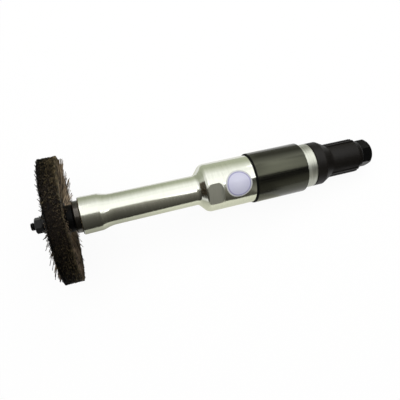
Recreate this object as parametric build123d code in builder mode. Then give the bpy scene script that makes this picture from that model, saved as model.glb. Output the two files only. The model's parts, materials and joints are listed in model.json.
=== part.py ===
from build123d import *
import math
import os

# Air straight grinder: a vane motor in a round body, a long nose that carries the spindle,
# a wire wheel brush clamped on the spindle, and a roll throttle and the air inlet at the rear.
# The tool lies on a bench, on the brush's rim and on the throttle grip.
# Stations are millimetres along the tool's axis from the nose's front face, positive to the rear.
# Turns are degrees about that axis, from straight up towards -Y.

# Fits: clearance on the radius
seat_fit = 0.05
bore_fit = 0.1
running_fit = 0.05
running_gap = 0.4
face_gap = 0.1

# Wheel brush
brush_d = 100.0
rim_width = 13.0
hub_width = 10.6
arbor_d = 10.0
bush_wall = 1.5
plate_d = 28.0
plate_thickness = 1.2
plate_lip = 0.8
plate_lip_run = 1.6
core_d = 34.0
strands_around = 64
strand_rows = 5
strand_d = 1.2
strand_sides = 3
strand_root_pitch = 1.7
strand_root_depth = 1.2
strand_raggedness = 2.0
strand_lean = 1.1

# How unevenness runs on from strand to strand and from row to row, in radians
lean_step = 2.4
lean_row_step = 1.9
ragged_step = 1.7
ragged_row_step = 2.9

# Hexagons: sides, and the angle at which the nut's corners are turned off
hex_sides = 6
hex_chamfer = 30.0

# Spindle and what is clamped on it
stud_d = 6.35
stud_chamfer = 0.7
stud_reach = 3.3
nut_across_flats = 11.1
nut_height = 5.5
nut_face_d = 10.6
nut_turn = 6.0
flange_d = 21.2
flange_edge = 0.6
flange_hub_d = 15.0
outer_flange_hub = 2.0
outer_flange_disc = 5.7
inner_flange_disc = 5.1
shaft_d = 14.0
shaft_clearance = 1.0
shoulder_set_back = 0.5
drive_across_flats = 6.0
drive_length = 7.0

# Front cap and felt seal
cap_lip = 0.75
cap_length = 4.5
cap_gap = 0.5
cap_spigot = 4.0
cap_round = 0.8
felt_section = 2.2
felt_width = 2.6
felt_lip = 0.7

# Ball bearings: bore, outside, width, ball and count
front_bearing_bore = 12.0
front_bearing_od = 24.0
front_bearing_width = 6.0
front_ball_d = 3.6
front_ball_count = 8
spindle_bearing_od = 28.0
spindle_bearing_width = 8.0
spindle_ball_d = 4.8
spindle_ball_count = 7
rotor_bearing_bore = 8.0
rotor_bearing_od = 16.0
rotor_bearing_width = 5.0
rotor_ball_d = 2.4
rotor_ball_count = 7
ball_clearance = 0.04
race_hold = 0.45

# Nose housing
nose_wall = 3.0
nose_taper = 0.6
nose_length = 15.2
nose_round = 1.0
nose_cone = 7.0
nose_cone_round = 4.0
neck_front_d = 25.2
neck_rear_d = 24.5
neck_length = 72.0
neck_front_round = 25.0
neck_rear_round = 4.0
shoulder_length = 6.7
shoulder_round = 6.0
body_step = 1.5
body_length = 39.5
flat_depth = 2.0
flat_length = 13.9
flat_lead = 0.7
flat_run_out = 5.4
flat_turn = 39.0
spigot_wall = 1.25
spigot_length = 9.6
clip_thickness = 1.2
clip_depth = 0.8
clip_width = 2.4
clip_opening = 8.0

# Vane motor
motor_set_back = 7.9
coupling_space = 6.0
coupling_gap = 2.0
motor_bore_d = 34.5
end_plate = 7.5
cylinder_length = 38.0
rotor_d = 22.0
rotor_offset = 1.5
rotor_side_gap = 0.15
rotor_seal_gap = 0.2
blade_count = 4
blade_thickness = 1.5
blade_depth = 5.8
blade_fit = 0.1
pin_d = 2.5
pin_inset = 2.5
port_width = 2.4
port_arc = 60.0
exhaust_turn = 110.0
exhaust_width = 2.6
exhaust_slots = 3
exhaust_slot_arc = 9.0

# Motor housing and grip sleeve
housing_wall = 0.7
sleeve_wall = 1.8
sleeve_length = 46.9
sleeve_front_round = 1.2
sleeve_rear_round = 0.8
window_count = 8
window_length = 13.0
window_width = 5.0
window_set_back = 14.0
channel_depth = 0.9
channel_width = 7.0

# Backhead: spigot in the motor housing, collar, and stem for the throttle
collar_step = 1.55
collar_length = 9.6
collar_edge = 0.5
stem_wall = 1.95
valve_bore_d = 13.0
chamber_depth = 4.0
seat_hole_d = 7.0
seat_set_back = 8.1
stem_socket_depth = 8.1

# Throttle grip
grip_rim = 8.4
grip_rim_round = 1.0
grip_cone = 9.0
grip_cone_round = 5.0
grip_wall = 2.2
grip_barrel = 26.0
grip_tail = 4.1
grip_tail_wall = 0.5
rib_height = 0.8
rib_width = 1.8
rib_pitch = 15.0
rib_run_out = 2.25
ribs_a_side = 5
rib_turn = 108.0
washer_thickness = 0.5
washer_set_in = 0.4

# Throttle valve: rolled by the grip, drawn back by helical slots
throttle_turn = 60.0
valve_travel = 5.0
seal_thickness = 0.6
nose_valve_d = 10.0
nose_valve_length = 3.8
spool_length = 15.5
spool_bore_d = 6.8
spool_front_wall = 1.2
valve_port_d = 2.0
valve_port_count = 4
cross_pin_d = 3.0
cross_pin_reach = 1.5
cross_pin_set_back = 6.6
cross_pin_gap = 0.2
groove_lead = 2.5
o_ring_d = 1.6
o_ring_sides = 8
o_ring_inset = 2.0
spring_d = 10.6
spring_wire_d = 0.9
spring_wire_sides = 6
spring_turns = 4

# Air inlet
inlet_across_flats = 21.0
inlet_hex = 10.3
hex_turn = 31.0
inlet_edge = 2.5
inlet_chamfer = 45.0
inlet_thread_d = 11.45
inlet_thread_length = 12.0
inlet_wall = 2.275
inlet_passage_d = 9.0
screen_d = 10.6
screen_thickness = 0.8
screen_hole_d = 2.0
screen_hole_circle = 6.2
screen_holes = 6

# Diameters, each from the wall or step over the one inside it
cap_d = front_bearing_od + 2 * cap_lip
nose_d = front_bearing_od + 2 * nose_wall
nose_rear_d = nose_d - nose_taper
neck_bore_d = shaft_d + 2 * shaft_clearance
spigot_d = motor_bore_d + 2 * spigot_wall
body_d = spigot_d + 2 * body_step
flat_across = body_d - 2 * flat_depth
housing_d = spigot_d + 2 * (seat_fit + housing_wall)
sleeve_d = housing_d + 2 * (bore_fit + sleeve_wall)
collar_d = motor_bore_d + 2 * collar_step
cylinder_bore_d = rotor_d + 2 * (rotor_seal_gap + rotor_offset)
inlet_spigot_d = inlet_thread_d + 2 * inlet_wall
stem_d = inlet_spigot_d + 2 * (seat_fit + stem_wall)
cross_pin_length = stem_d + 2 * cross_pin_reach
groove_d = cross_pin_length + 2 * cross_pin_gap
grip_face_d = groove_d + 2 * grip_wall
grip_tail_d = groove_d + 2 * grip_tail_wall
rib_d = grip_face_d + 2 * rib_height
washer_d = grip_tail_d - 2 * washer_set_in

# Stations forward of the nose
cap_front = -cap_length
flange_rear = cap_front - cap_gap
wheel_seat = flange_rear - inner_flange_disc
hub_front = wheel_seat - hub_width
outer_flange_front = hub_front - outer_flange_disc - outer_flange_hub
nut_front = outer_flange_front - nut_height
stud_end = nut_front - stud_reach
brush_mid = wheel_seat - hub_width / 2
rim_rear = brush_mid + rim_width / 2

# Stations along the housings
front_bearing_end = cap_spigot + front_bearing_width
neck_start = nose_length + nose_cone
neck_end = neck_start + neck_length
shoulder_end = neck_end + shoulder_length
flat_start = shoulder_end - flat_lead
flat_end = flat_start + flat_length
motor_seat = flat_end + motor_set_back
spindle_bearing_end = motor_seat - coupling_space
spindle_bearing_start = spindle_bearing_end - spindle_bearing_width
body_end = shoulder_end + body_length
spigot_end = body_end + spigot_length
cylinder_start = motor_seat + end_plate
cylinder_end = cylinder_start + cylinder_length
stack_end = cylinder_end + end_plate
sleeve_end = body_end + sleeve_length

# Stations of the throttle and the inlet
collar_end = sleeve_end + collar_length
grip_start = collar_end + running_gap
grip_cone_start = grip_start + grip_rim
grip_barrel_start = grip_cone_start + grip_cone
grip_edge = grip_barrel_start + grip_barrel
grip_end = grip_edge + grip_tail
hex_start = grip_end + washer_thickness + 2 * face_gap
inlet_end = hex_start + inlet_hex
stem_end = grip_end
socket_start = stem_end - stem_socket_depth
valve_seat = collar_end + seat_set_back
seal_front = valve_seat + face_gap
valve_front = seal_front + seal_thickness
spool_start = valve_front + nose_valve_length
spool_end = spool_start + spool_length
cross_pin_station = spool_start + cross_pin_set_back
thread_end = inlet_end - inlet_thread_length

# How the tool lies: the line under the brush's rear rim and the grip's rear edge is the bench
lie = math.atan2((brush_d - grip_face_d) / 2, grip_edge - rim_rear)
nose_height = brush_d / 2 * math.cos(lie) + rim_rear * math.sin(lie)
nose_x = -(stud_end + inlet_end) / 2 * math.cos(lie)
axis_dir = Vector(math.cos(lie), 0, -math.sin(lie))
up_dir = Vector(math.sin(lie), 0, math.cos(lie))
side_dir = Vector(0, 1, 0)
nose_point = Vector(nose_x, 0, nose_height)
profile_plane = Plane(nose_point, x_dir=axis_dir, z_dir=(0, -1, 0))
tool_axis = Axis(nose_point, axis_dir)


def across(station, turn=0.0):
    """Plane square to the tool's axis, facing the rear, with its y axis at the turn."""
    angle = math.radians(turn)
    x_dir = side_dir * math.cos(angle) + up_dir * math.sin(angle)
    return Plane(nose_point + axis_dir * station, x_dir=x_dir, z_dir=axis_dir)


def outward(station, turn, reach):
    """Plane that faces straight out from the tool's axis, with its x axis along the tool."""
    section = across(station, turn)
    return Plane(section.origin + section.y_dir * reach, x_dir=axis_dir, z_dir=section.y_dir)


def turned(*outline, rounds=0, mode=Mode.ADD):
    """Revolve a closed outline of (station, radius) corners about the tool's axis."""
    with BuildSketch(profile_plane) as section:
        with BuildLine():
            FilletPolyline(*outline, radius=rounds, close=True)
        make_face()
    revolve(section.sketch, axis=tool_axis, mode=mode)


def ring(start, end, inner, outer, mode=Mode.ADD):
    """Plain ring or disc between two stations."""
    turned((start, inner), (start, outer), (end, outer), (end, inner), mode=mode)


pieces = {}


def ball_bearing(name, start, width, bore_d, outside_d, ball_d, count):
    """Ball bearing as its outer race, inner race and balls."""
    pitch = (bore_d + outside_d) / 4
    groove = ball_d / 2 + ball_clearance
    middle = start + width / 2
    with BuildPart() as inner_race:
        ring(start, start + width, bore_d / 2 + seat_fit, pitch - race_hold * ball_d)
        with BuildSketch(profile_plane) as groove_section:
            with Locations((middle, pitch)):
                Circle(groove)
        revolve(groove_section.sketch, axis=tool_axis, mode=Mode.SUBTRACT)
    with BuildPart() as outer_race:
        ring(start, start + width, pitch + race_hold * ball_d, outside_d / 2)
        revolve(groove_section.sketch, axis=tool_axis, mode=Mode.SUBTRACT)
    with BuildPart(across(middle)) as balls:
        with PolarLocations(pitch, count):
            Sphere(ball_d / 2)
    pieces[name + "_inner_race"] = inner_race
    pieces[name + "_outer_race"] = outer_race
    pieces[name + "_balls"] = balls


# Spindle: stepped steel shaft, from the stud to the hexagon socket that the rotor drives
spindle_rear = motor_seat - coupling_gap
arbor_front = hub_front + shoulder_set_back
arbor_rear = wheel_seat + shoulder_set_back
with BuildPart() as spindle:
    turned(
        (stud_end, 0),
        (stud_end, stud_d / 2 - stud_chamfer),
        (stud_end + stud_chamfer, stud_d / 2),
        (arbor_front, stud_d / 2),
        (arbor_front, arbor_d / 2),
        (arbor_rear, arbor_d / 2),
        (arbor_rear, front_bearing_bore / 2),
        (front_bearing_end, front_bearing_bore / 2),
        (front_bearing_end, shaft_d / 2),
        (spindle_bearing_start, shaft_d / 2),
        (spindle_bearing_start, front_bearing_bore / 2),
        (spindle_rear, front_bearing_bore / 2),
        (spindle_rear, 0),
    )
    with BuildSketch(across(spindle_rear)):
        RegularPolygon(drive_across_flats / 2 + seat_fit, hex_sides, major_radius=False)
    extrude(amount=-drive_length, mode=Mode.SUBTRACT)
pieces["spindle"] = spindle

# Hexagon nut, its corners turned off at both ends
nut_corner_r = nut_across_flats / math.sqrt(3)
nut_edge = (nut_corner_r - nut_face_d / 2) * math.tan(math.radians(hex_chamfer))
with BuildPart() as spindle_nut:
    with BuildSketch(across(nut_front, nut_turn)):
        RegularPolygon(nut_across_flats / 2, hex_sides, major_radius=False)
        Circle(stud_d / 2 + seat_fit, mode=Mode.SUBTRACT)
    extrude(amount=nut_height)
    for face, inward in ((nut_front, nut_edge), (outer_flange_front, -nut_edge)):
        turned(
            (face, nut_face_d / 2),
            (face, nut_corner_r),
            (face + inward, nut_corner_r),
            mode=Mode.SUBTRACT,
        )
pieces["spindle_nut"] = spindle_nut

# Outer flange: disc on the brush, hub under the nut
with BuildPart() as outer_flange:
    turned(
        (outer_flange_front, stud_d / 2 + seat_fit),
        (outer_flange_front, flange_hub_d / 2),
        (hub_front - outer_flange_disc, flange_hub_d / 2),
        (hub_front - outer_flange_disc, flange_d / 2),
        (hub_front, flange_d / 2),
        (hub_front, stud_d / 2 + seat_fit),
        rounds=[0, flange_edge, flange_edge, flange_edge, 0, 0],
    )
pieces["outer_flange"] = outer_flange

# Inner flange: disc behind the brush, hub through the front cap to the bearing's inner race
with BuildPart() as inner_flange:
    turned(
        (wheel_seat, front_bearing_bore / 2 + seat_fit),
        (wheel_seat, flange_d / 2),
        (flange_rear, flange_d / 2),
        (flange_rear, flange_hub_d / 2),
        (cap_spigot, flange_hub_d / 2),
        (cap_spigot, front_bearing_bore / 2 + seat_fit),
        rounds=[0, flange_edge, flange_edge, 0, 0, 0],
    )
pieces["inner_flange"] = inner_flange

# Brush: tube rivet, two stamped side plates, and the wires in the core between them
bush_r = arbor_d / 2 + seat_fit + bush_wall
with BuildPart() as brush_bush:
    ring(hub_front, wheel_seat, arbor_d / 2 + seat_fit, bush_r)
pieces["brush_bush"] = brush_bush

for name, face, inward in (("front", hub_front, 1), ("rear", wheel_seat, -1)):
    inside = face + inward * plate_thickness
    with BuildPart() as side_plate:
        turned(
            (face, bush_r + seat_fit),
            (face, plate_d / 2 - plate_lip_run),
            (face + inward * plate_lip, plate_d / 2),
            (inside, plate_d / 2),
            (inside, bush_r + seat_fit),
        )
    pieces[f"brush_{name}_plate"] = side_plate

core_front = hub_front + plate_thickness
core_width = hub_width - 2 * plate_thickness
facet_turn = 360.0 / strands_around
rim_pitch = (rim_width - strand_d) / (strand_rows - 1)
strand_root_r = core_d / 2 - strand_root_depth
strand_length = brush_d / 2 - strand_root_r
strand_planes = []
for row in range(strand_rows):
    side = row - (strand_rows - 1) / 2
    for spoke in range(strands_around):
        wave = math.sin(lean_step * spoke + lean_row_step * row)
        short = strand_raggedness * (1 + math.sin(ragged_step * spoke + ragged_row_step * row)) / 2
        turn = facet_turn * spoke
        lean = math.degrees(strand_lean * wave / (brush_d / 2))
        root = across(brush_mid + side * strand_root_pitch, turn)
        tip = across(brush_mid + side * rim_pitch, turn + lean)
        root_point = root.origin + root.y_dir * (strand_root_r - short)
        tip_point = tip.origin + tip.y_dir * (brush_d / 2)
        strand_planes.append(Plane(root_point, x_dir=axis_dir, z_dir=tip_point - root_point))
with BuildPart() as brush_wires:
    with BuildSketch(across(core_front, facet_turn / 2)):
        RegularPolygon(core_d / 2, strands_around, major_radius=False)
        Circle(bush_r + seat_fit, mode=Mode.SUBTRACT)
    extrude(amount=core_width)
    with BuildSketch(*strand_planes):
        RegularPolygon(strand_d / 2, strand_sides)
    extrude(amount=strand_length, clean=False)
pieces["brush_wires"] = brush_wires

# Front cap: threaded spigot in the nose, with a groove for the felt seal
felt_outer = flange_hub_d / 2 + running_gap + felt_section
with BuildPart() as front_cap:
    turned(
        (cap_front, flange_hub_d / 2 + running_gap),
        (cap_front, cap_d / 2),
        (0, cap_d / 2),
        (0, front_bearing_od / 2),
        (cap_spigot, front_bearing_od / 2),
        (cap_spigot, flange_hub_d / 2 + running_gap),
        rounds=[0, cap_round, 0, 0, 0, 0],
    )
    ring(felt_lip, felt_lip + felt_width, 0, felt_outer + seat_fit, mode=Mode.SUBTRACT)
pieces["front_cap"] = front_cap

with BuildPart() as felt_seal:
    ring(felt_lip, felt_lip + felt_width, flange_hub_d / 2 + running_gap / 2, felt_outer)
pieces["felt_seal"] = felt_seal

# Bearings of the spindle
ball_bearing(
    "front_bearing", cap_spigot, front_bearing_width, front_bearing_bore,
    front_bearing_od, front_ball_d, front_ball_count,
)
ball_bearing(
    "spindle_bearing", spindle_bearing_start, spindle_bearing_width, front_bearing_bore,
    spindle_bearing_od, spindle_ball_d, spindle_ball_count,
)

# Nose housing: turned in one piece, bored for the bearings and the motor, with two wrench flats
# that start in the shoulder and run out to the rear on the cutter's radius
clip_start = spindle_bearing_end + face_gap
nose_rounds = [0, nose_round, nose_cone_round, neck_front_round, neck_rear_round, shoulder_round]
with BuildPart() as nose_housing:
    turned(
        (0, front_bearing_od / 2 + seat_fit),
        (0, nose_d / 2),
        (nose_length, nose_rear_d / 2),
        (neck_start, neck_front_d / 2),
        (neck_end, neck_rear_d / 2),
        (shoulder_end, body_d / 2),
        (body_end, body_d / 2),
        (body_end, spigot_d / 2),
        (spigot_end, spigot_d / 2),
        (spigot_end, motor_bore_d / 2),
        (motor_seat, motor_bore_d / 2),
        (motor_seat, spindle_bearing_od / 2 + seat_fit),
        (spindle_bearing_start, spindle_bearing_od / 2 + seat_fit),
        (spindle_bearing_start, neck_bore_d / 2),
        (front_bearing_end, neck_bore_d / 2),
        (front_bearing_end, front_bearing_od / 2 + seat_fit),
        rounds=nose_rounds + [0] * 10,
    )
    clip_groove_r = spindle_bearing_od / 2 + clip_depth
    ring(clip_start, clip_start + clip_thickness + face_gap, 0, clip_groove_r, mode=Mode.SUBTRACT)
    for turn in (flat_turn, flat_turn + 180):
        section = across(0, turn)
        with BuildSketch(Plane(section.origin, x_dir=axis_dir, z_dir=-section.x_dir)):
            with BuildLine():
                FilletPolyline(
                    (flat_start, body_d),
                    (flat_start, flat_across / 2),
                    (flat_end, flat_across / 2),
                    (flat_end, body_d),
                    radius=[0, 0, flat_run_out, 0],
                    close=True,
                )
            make_face()
        extrude(amount=body_d, both=True, mode=Mode.SUBTRACT)
pieces["nose_housing"] = nose_housing

# Retaining ring of the spindle bearing, open at the top
with BuildPart() as spindle_bearing_clip:
    ring(clip_start, clip_start + clip_thickness, clip_groove_r - clip_width, clip_groove_r - seat_fit)
    with BuildSketch(across(clip_start)):
        with Locations((0, clip_groove_r)):
            Rectangle(clip_opening, 2 * clip_groove_r)
    extrude(amount=clip_thickness, mode=Mode.SUBTRACT)
pieces["spindle_bearing_clip"] = spindle_bearing_clip

# Vane motor: two end plates, a cylinder bored off centre, rotor, blades and dowel
plate_r = motor_bore_d / 2 - bore_fit
pocket_r = rotor_bearing_od / 2 + seat_fit
journal_hole = (rotor_bearing_bore + rotor_bearing_od) / 4 - race_hold * rotor_ball_d + running_gap
pin_circle_r = (plate_r + cylinder_bore_d / 2 - rotor_offset) / 2
port_circle_r = (rotor_d / 2 + cylinder_bore_d / 2 + rotor_offset) / 2
for name, outside, inside in (
    ("front", motor_seat, cylinder_start),
    ("rear", stack_end, cylinder_end),
):
    pocket_end = outside + math.copysign(rotor_bearing_width, inside - outside)
    with BuildPart() as motor_plate:
        turned(
            (outside, pocket_r),
            (outside, plate_r),
            (inside, plate_r),
            (inside, journal_hole),
            (pocket_end, journal_hole),
            (pocket_end, pocket_r),
        )
        with BuildSketch(across(motor_seat, 180)):
            with Locations((0, pin_circle_r)):
                Circle(pin_d / 2 + seat_fit)
        extrude(amount=stack_end - motor_seat, mode=Mode.SUBTRACT)
        if name == "rear":
            with BuildSketch(across(cylinder_end)):
                with BuildLine():
                    port_path = CenterArc((0, 0), port_circle_r, 90 - port_arc / 2, port_arc)
                SlotArc(port_path, port_width)
            extrude(amount=end_plate, mode=Mode.SUBTRACT)
    pieces[f"{name}_end_plate"] = motor_plate

with BuildPart() as motor_cylinder:
    with BuildSketch(across(cylinder_start)):
        Circle(plate_r)
        with Locations((0, rotor_offset)):
            Circle(cylinder_bore_d / 2, mode=Mode.SUBTRACT)
        with Locations((0, -pin_circle_r)):
            Circle(pin_d / 2 + seat_fit, mode=Mode.SUBTRACT)
    extrude(amount=cylinder_length)
    window_middle = body_end + window_set_back + window_length / 2
    with BuildSketch(outward(window_middle, exhaust_turn, plate_r)):
        with GridLocations(window_length / exhaust_slots, 0, exhaust_slots, 1):
            SlotOverall(exhaust_slot_arc, exhaust_width, rotation=90)
    extrude(amount=-plate_r, mode=Mode.SUBTRACT)
pieces["motor_cylinder"] = motor_cylinder

with BuildPart() as cylinder_pin:
    with BuildSketch(across(motor_seat + pin_inset)):
        with Locations((0, -pin_circle_r)):
            Circle(pin_d / 2)
    extrude(amount=stack_end - motor_seat - 2 * pin_inset)
pieces["cylinder_pin"] = cylinder_pin

rotor_start = cylinder_start + rotor_side_gap
rotor_end = cylinder_end - rotor_side_gap
blade_root = rotor_d / 2 - blade_depth
with BuildPart() as rotor:
    turned(
        (motor_seat, 0),
        (motor_seat, rotor_bearing_bore / 2),
        (rotor_start, rotor_bearing_bore / 2),
        (rotor_start, rotor_d / 2),
        (rotor_end, rotor_d / 2),
        (rotor_end, rotor_bearing_bore / 2),
        (stack_end, rotor_bearing_bore / 2),
        (stack_end, 0),
    )
    with BuildSketch(across(motor_seat)):
        RegularPolygon(drive_across_flats / 2, hex_sides, major_radius=False)
    extrude(amount=spindle_rear - motor_seat - drive_length + face_gap)
    with BuildSketch(across(rotor_start)):
        with PolarLocations(rotor_d / 2, blade_count):
            Rectangle(2 * (blade_depth + blade_fit), blade_thickness + 2 * blade_fit)
    extrude(amount=rotor_end - rotor_start, mode=Mode.SUBTRACT)
pieces["rotor"] = rotor

with BuildPart() as rotor_blades:
    with BuildSketch(across(rotor_start)):
        with PolarLocations(blade_root + blade_depth / 2 - blade_fit, blade_count):
            Rectangle(blade_depth, blade_thickness)
    extrude(amount=rotor_end - rotor_start)
pieces["rotor_blades"] = rotor_blades

for name, start in (
    ("rotor_front_bearing", motor_seat),
    ("rotor_rear_bearing", stack_end - rotor_bearing_width),
):
    ball_bearing(
        name, start, rotor_bearing_width, rotor_bearing_bore,
        rotor_bearing_od, rotor_ball_d, rotor_ball_count,
    )

# Motor housing: tube under the sleeve, with the exhaust windows round it
with BuildPart() as motor_housing:
    turned(
        (body_end, spigot_d / 2 + seat_fit),
        (body_end, housing_d / 2),
        (sleeve_end, housing_d / 2),
        (sleeve_end, motor_bore_d / 2),
        (spigot_end, motor_bore_d / 2),
        (spigot_end, spigot_d / 2 + seat_fit),
    )
    window_turns = [360.0 / window_count * number for number in range(window_count)]
    with BuildSketch(*[outward(window_middle, turn, housing_d / 2) for turn in window_turns]):
        SlotOverall(window_length, window_width)
    extrude(amount=motor_bore_d - housing_d, mode=Mode.SUBTRACT)
pieces["motor_housing"] = motor_housing

# Grip sleeve: the exhaust runs to the rear in channels on its inside
with BuildPart() as grip_sleeve:
    turned(
        (body_end, housing_d / 2 + bore_fit),
        (body_end, sleeve_d / 2),
        (sleeve_end, sleeve_d / 2),
        (sleeve_end, housing_d / 2 + bore_fit),
        rounds=[0, sleeve_front_round, sleeve_rear_round, 0],
    )
    channel_r = housing_d / 2 + bore_fit + channel_depth
    with BuildSketch(across(body_end + window_set_back)):
        with PolarLocations(channel_r / 2, window_count):
            Rectangle(channel_r, channel_width)
        Circle(channel_r, mode=Mode.INTERSECT)
    extrude(amount=sleeve_length, mode=Mode.SUBTRACT)
pieces["grip_sleeve"] = grip_sleeve

# Backhead: one turned piece, with two helical slots for the throttle's cross pin
slot_lead = valve_travel * 360 / throttle_turn
slot_overrun = math.degrees(math.asin((cross_pin_d / 2 + cross_pin_gap) / (valve_bore_d / 2)))
slot_slope = math.atan2(slot_lead, math.pi * valve_bore_d)
slot_height = (cross_pin_d + 2 * cross_pin_gap) / math.cos(slot_slope)
slot_middle = (stem_d + valve_bore_d) / 4
slot_first = cross_pin_station - slot_lead * slot_overrun / 360
slot_rise = slot_lead * (throttle_turn + 2 * slot_overrun) / 360
slot_starts = [across(slot_first, side - slot_overrun) for side in (0, 180)]
slot_paths = [start * Helix(slot_lead, slot_rise, slot_middle) for start in slot_starts]
chamber_r = port_circle_r + port_width / 2
with BuildPart() as backhead:
    turned(
        (stack_end, chamber_r),
        (stack_end, plate_r),
        (sleeve_end, plate_r),
        (sleeve_end, collar_d / 2),
        (collar_end, collar_d / 2),
        (collar_end, stem_d / 2),
        (stem_end, stem_d / 2),
        (stem_end, inlet_spigot_d / 2 + seat_fit),
        (socket_start, inlet_spigot_d / 2 + seat_fit),
        (socket_start, valve_bore_d / 2),
        (valve_seat, valve_bore_d / 2),
        (valve_seat, seat_hole_d / 2),
        (stack_end + chamber_depth, seat_hole_d / 2),
        (stack_end + chamber_depth, chamber_r),
        rounds=[0, 0, 0, collar_edge, collar_edge] + [0] * 9,
    )
    for slot_start, slot_path in zip(slot_starts, slot_paths):
        slot_origin = slot_start.origin + slot_start.x_dir * slot_middle
        slot_plane = Plane(slot_origin, x_dir=slot_start.x_dir, z_dir=-slot_start.y_dir)
        with BuildSketch(slot_plane) as slot_section:
            Rectangle(stem_d - valve_bore_d, slot_height)
        sweep(slot_section.sketch, path=slot_path, is_frenet=True, mode=Mode.SUBTRACT)
pieces["backhead"] = backhead

# Throttle grip: flared rim, cone and barrel, ribbed on two sides, grooved inside for the cross pin
with BuildPart() as throttle_grip:
    turned(
        (grip_start, stem_d / 2 + running_fit),
        (grip_start, collar_d / 2),
        (grip_cone_start, collar_d / 2),
        (grip_barrel_start, grip_face_d / 2),
        (grip_edge, grip_face_d / 2),
        (grip_end, grip_tail_d / 2),
        (grip_end, stem_d / 2 + running_fit),
        rounds=[0, grip_rim_round, grip_rim_round, grip_cone_round, 0, 0, 0],
    )
    rib_root_r = (stem_d + grip_face_d) / 4
    with BuildSketch(across(grip_barrel_start - rib_run_out)):
        for number in range(ribs_a_side):
            rib_angle = 90 + rib_turn + rib_pitch * (number - (ribs_a_side - 1) / 2)
            with PolarLocations((rib_root_r + rib_d / 2) / 2, 2, start_angle=rib_angle):
                Rectangle(rib_d / 2 - rib_root_r, rib_width)
    extrude(amount=grip_edge - grip_barrel_start + rib_run_out)
    with BuildSketch(across(cross_pin_station - groove_lead)):
        Rectangle(groove_d, cross_pin_d + 2 * cross_pin_gap)
    extrude(amount=grip_end - cross_pin_station + groove_lead, mode=Mode.SUBTRACT)
pieces["throttle_grip"] = throttle_grip

washer_start = grip_end + face_gap
with BuildPart() as grip_washer:
    ring(washer_start, washer_start + washer_thickness, stem_d / 2 + running_fit, washer_d / 2)
pieces["grip_washer"] = grip_washer

# Throttle valve: hollow spool with a closed nose, its rubber face, o-rings and cross pin
spool_r = valve_bore_d / 2 - running_fit
o_ring_r = spool_r - o_ring_d / 2 - running_fit
o_ring_stations = (spool_start + o_ring_inset, spool_end - o_ring_inset)
with BuildPart() as throttle_valve:
    turned(
        (valve_front, 0),
        (valve_front, nose_valve_d / 2),
        (spool_start, nose_valve_d / 2),
        (spool_start, spool_r),
        (spool_end, spool_r),
        (spool_end, spool_bore_d / 2),
        (valve_front + spool_front_wall, spool_bore_d / 2),
        (valve_front + spool_front_wall, 0),
    )
    for station in o_ring_stations:
        half = o_ring_d / 2 + seat_fit
        ring(station - half, station + half, o_ring_r - half, valve_bore_d / 2, mode=Mode.SUBTRACT)
    port_station = valve_front + (spool_front_wall + nose_valve_length) / 2
    port_turns = [360.0 / valve_port_count * number for number in range(valve_port_count)]
    with BuildSketch(*[outward(port_station, turn, nose_valve_d / 2) for turn in port_turns]):
        Circle(valve_port_d / 2)
    extrude(amount=spool_bore_d - nose_valve_d, mode=Mode.SUBTRACT)
    with BuildSketch(outward(cross_pin_station, 90, 0)):
        Circle(cross_pin_d / 2 + seat_fit)
    extrude(amount=valve_bore_d, both=True, mode=Mode.SUBTRACT)
pieces["throttle_valve"] = throttle_valve

with BuildPart() as valve_seal:
    ring(seal_front, valve_front, 0, nose_valve_d / 2)
pieces["valve_seal"] = valve_seal

with BuildPart() as valve_o_rings:
    with BuildSketch(profile_plane) as o_ring_sections:
        with Locations(*[(station, o_ring_r) for station in o_ring_stations]):
            RegularPolygon(o_ring_d / 2, o_ring_sides)
    revolve(o_ring_sections.sketch.faces(), axis=tool_axis)
pieces["valve_o_rings"] = valve_o_rings

with BuildPart() as throttle_pin:
    with BuildSketch(outward(cross_pin_station, 90, 0)):
        Circle(cross_pin_d / 2)
    extrude(amount=cross_pin_length / 2, both=True)
pieces["throttle_pin"] = throttle_pin

# Valve spring, between the spool and the inlet bushing
spring_start = spool_end + spring_wire_d / 2 + face_gap
spring_room = socket_start - spool_end - spring_wire_d - 2 * face_gap
spring_r = (spring_d - spring_wire_d) / 2
spring_path = across(spring_start) * Helix(spring_room / spring_turns, spring_room, spring_r)
with BuildPart() as valve_spring:
    with BuildSketch(Plane(spring_path @ 0, x_dir=axis_dir, z_dir=spring_path % 0)) as wire_section:
        RegularPolygon(spring_wire_d / 2, spring_wire_sides)
    sweep(wire_section.sketch, path=spring_path, is_frenet=True)
pieces["valve_spring"] = valve_spring

# Air inlet: hexagon bushing with a pipe thread, and a screen below the thread
inlet_corner_r = inlet_across_flats / math.sqrt(3)
inlet_face_r = inlet_corner_r - inlet_edge / math.tan(math.radians(inlet_chamfer))
screen_seat = thread_end - screen_thickness - face_gap
with BuildPart() as inlet_bushing:
    with BuildSketch(across(hex_start, hex_turn)):
        RegularPolygon(inlet_across_flats / 2, hex_sides, major_radius=False)
    extrude(amount=inlet_hex)
    turned(
        (inlet_end, inlet_face_r),
        (inlet_end, inlet_corner_r),
        (inlet_end - inlet_edge, inlet_corner_r),
        mode=Mode.SUBTRACT,
    )
    ring(socket_start, hex_start, 0, inlet_spigot_d / 2)
    ring(thread_end, inlet_end, 0, inlet_thread_d / 2, mode=Mode.SUBTRACT)
    ring(screen_seat, thread_end, 0, screen_d / 2 + seat_fit, mode=Mode.SUBTRACT)
    ring(socket_start, screen_seat, 0, inlet_passage_d / 2, mode=Mode.SUBTRACT)
pieces["inlet_bushing"] = inlet_bushing

with BuildPart() as inlet_screen:
    with BuildSketch(across(screen_seat)):
        Circle(screen_d / 2)
        Circle(screen_hole_d / 2, mode=Mode.SUBTRACT)
        with PolarLocations(screen_hole_circle / 2, screen_holes):
            Circle(screen_hole_d / 2, mode=Mode.SUBTRACT)
    extrude(amount=screen_thickness)
pieces["inlet_screen"] = inlet_screen

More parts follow.
